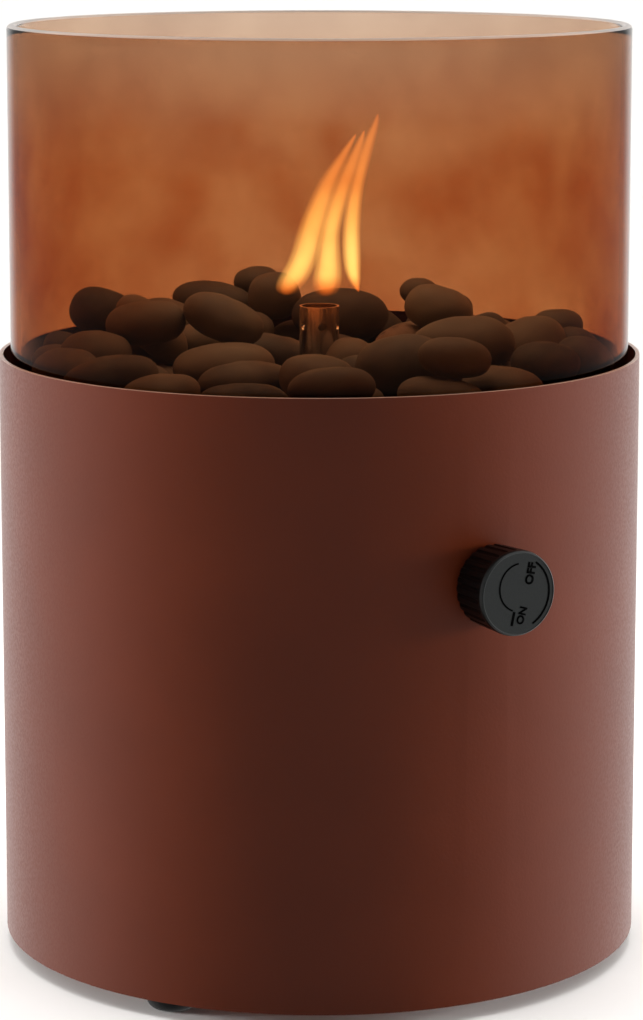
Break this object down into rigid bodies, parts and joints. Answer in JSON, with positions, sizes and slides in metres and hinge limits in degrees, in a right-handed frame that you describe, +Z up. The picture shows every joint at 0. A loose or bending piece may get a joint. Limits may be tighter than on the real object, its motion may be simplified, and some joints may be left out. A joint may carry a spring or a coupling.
{
  "type": "tabletop gas fire pit",
  "caption": "Round tabletop gas fire pit: steel sleeve on rubber feet, amber glass chimney over a tray of pebbles, tube burner, gas cartridge, needle valve and side knob.",
  "frame": {"origin": "on the axis of the steel sleeve, at table level under the three feet", "axes": "+Z up along the sleeve's axis; -Y is the front, with the knob 29.6 degrees from the front towards +X"},
  "size_m": [0.2, 0.2068, 0.29],
  "materials": {
    "terracotta_steel": "red-brown powder coat on sheet steel, satin with a fine orange peel",
    "dark_steel": "heat-darkened steel, matt",
    "spring_steel": "bare spring steel, satin",
    "zinc_fasteners": "zinc plated screws and nuts",
    "polished_steel": "polished stainless tube",
    "turned_brass": "turned brass",
    "cast_alloy": "die cast alloy, fine grain",
    "cartridge_paint": "plain lacquered steel can",
    "foot_rubber": "black moulded rubber, matt",
    "black_plastic": "black moulded heat-proof plastic, satin",
    "amber_glass": "amber tinted borosilicate tube, clear gloss",
    "dark_pebble": "dark brown fired ceramic pebble, matt",
    "brown_pebble": "pitted brown ceramic pebble, matt",
    "flame": "gas flame, glowing"
  },
  "bodies": {
    "base": {"sleeve": "terracotta_steel", "base_ring": "terracotta_steel", "feet": "foot_rubber", "foot_screws": "zinc_fasteners", "foot_nuts": "zinc_fasteners", "tray_brackets": "terracotta_steel", "pebble_tray": "dark_steel", "tray_screws": "zinc_fasteners", "burner_tube": "polished_steel", "mixing_tube": "turned_brass", "burner_nut": "zinc_fasteners", "gas_jet": "turned_brass", "valve_body": "turned_brass", "valve_head": "cast_alloy", "head_screws": "zinc_fasteners", "piercing_pin": "polished_steel", "head_seal": "foot_rubber", "cartridge_clip": "spring_steel", "gas_cartridge": "cartridge_paint", "gland_nut": "turned_brass", "spindle_seal": "foot_rubber", "wall_grommet": "foot_rubber", "pebble_bed": "dark_pebble", "front_pebbles": "dark_pebble", "middle_pebbles": "dark_pebble", "back_pebbles": "dark_pebble", "grooved_pebble": "brown_pebble"},
    "glass": {"glass_chimney": "amber_glass"},
    "stem": {"spindle": "polished_steel"},
    "needle": {"valve_needle": "polished_steel"},
    "knob": {"knob": "black_plastic", "knob_spring": "spring_steel"}
  },
  "joints": [
    {"name": "knob_turn", "type": "hinge", "parent": "base", "child": "stem", "pos_m": [0, 0, 0.1314], "axis": [0.4939, -0.8695, 0], "range_deg": [-270, 45]},
    {"name": "needle_travel", "type": "slide", "parent": "base", "child": "needle", "axis": [0.4939, -0.8695, 0], "range_m": [-0.00076, 0.00013]},
    {"name": "knob_pull", "type": "slide", "parent": "stem", "child": "knob", "axis": [0.4939, -0.8695, 0], "range_m": [0, 0.02]},
    {"name": "glass_lift", "type": "slide", "parent": "base", "child": "glass", "axis": [0, 0, 1], "range_m": [0, 0.15]}
  ],
  "couplings": [
    {"joint": "needle_travel", "follows": "knob_turn", "m_per_rad": 0.00015915}
  ]
}
